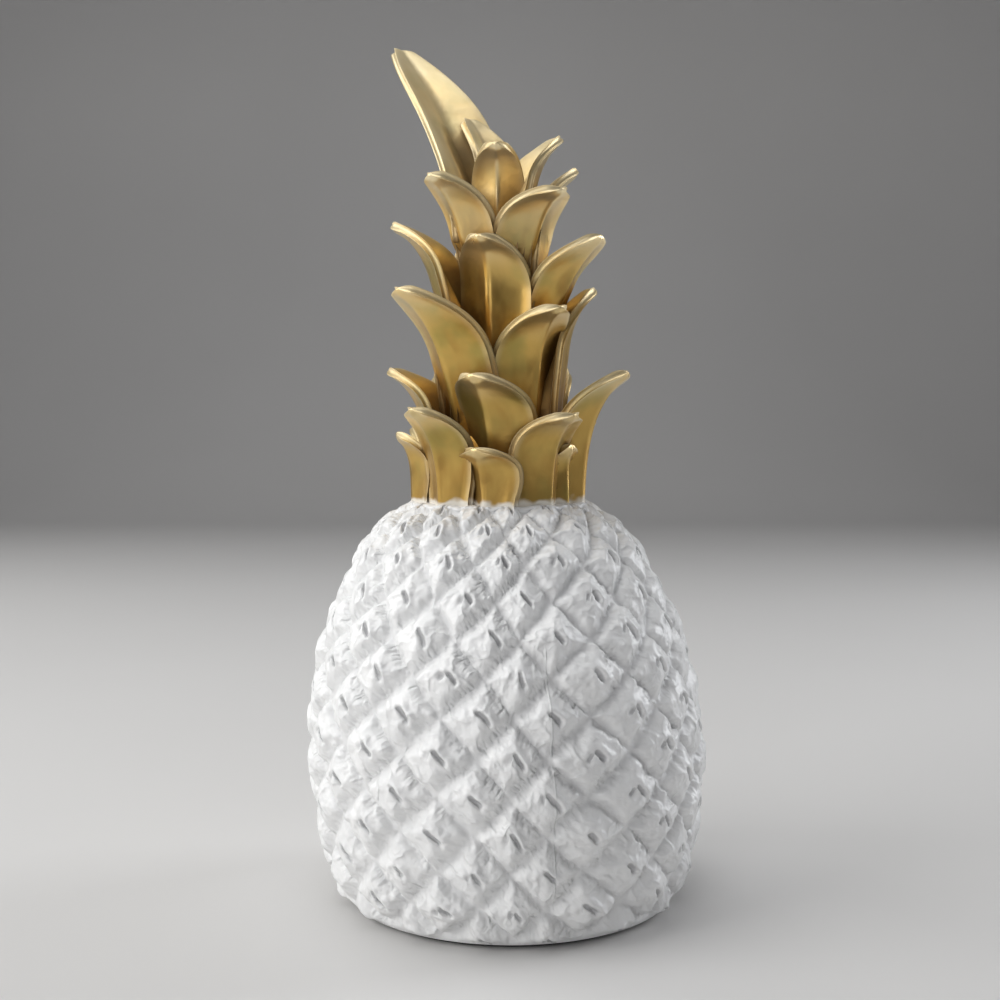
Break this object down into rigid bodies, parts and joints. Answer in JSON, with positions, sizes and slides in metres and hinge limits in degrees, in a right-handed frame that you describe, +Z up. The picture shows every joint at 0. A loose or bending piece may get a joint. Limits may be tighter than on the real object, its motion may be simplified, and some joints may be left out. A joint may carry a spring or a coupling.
{
  "type": "pineapple figurine",
  "caption": "Free-standing pineapple ornament: rounded white body covered in diamond fruitlets, topped by a tall crown of curled gold leaves.",
  "frame": {"origin": "centre of the felt foot's underside, on the surface that the ornament stands on", "axes": "+Z up through the crown, -Y toward the front seen in the picture, +X to the viewer's right"},
  "size_m": [0.1403, 0.1398, 0.3028],
  "materials": {
    "white_resin": "satin-gloss white paint on cast resin",
    "gold_paint": "satin metallic gold paint on cast resin",
    "felt": "short black felt"
  },
  "bodies": {
    "root": {"white_body": "white_resin", "felt_foot": "felt", "crown_core": "gold_paint", "leaf_row1_front": "gold_paint", "leaf_row1_left": "gold_paint", "leaf_row1_back_left": "gold_paint", "leaf_row1_back_right": "gold_paint", "leaf_row2_front_left": "gold_paint", "leaf_row2_front_right": "gold_paint", "leaf_row2_right": "gold_paint", "leaf_row2_back_right": "gold_paint", "leaf_row2_back": "gold_paint", "leaf_row2_back_left": "gold_paint", "leaf_row1_right": "gold_paint", "leaf_row3_front": "gold_paint", "leaf_row3_left": "gold_paint", "leaf_row3_back_left": "gold_paint", "leaf_row3_back_right": "gold_paint", "leaf_row4_front_left": "gold_paint", "leaf_row4_front_right": "gold_paint", "leaf_row4_right": "gold_paint", "leaf_row4_back": "gold_paint", "leaf_row4_back_left": "gold_paint", "leaf_row5_front": "gold_paint", "leaf_row5_left": "gold_paint", "leaf_row5_right": "gold_paint", "leaf_row5_back_right": "gold_paint", "leaf_row5_back_left": "gold_paint", "leaf_row6_front_left": "gold_paint", "leaf_row6_front_right": "gold_paint", "leaf_row6_right": "gold_paint", "leaf_row6_back": "gold_paint", "leaf_row6_back_left": "gold_paint", "leaf_row7_front": "gold_paint", "leaf_row7_right": "gold_paint", "leaf_row7_inner": "gold_paint", "leaf_row7_tall": "gold_paint"}
  },
  "joints": []
}
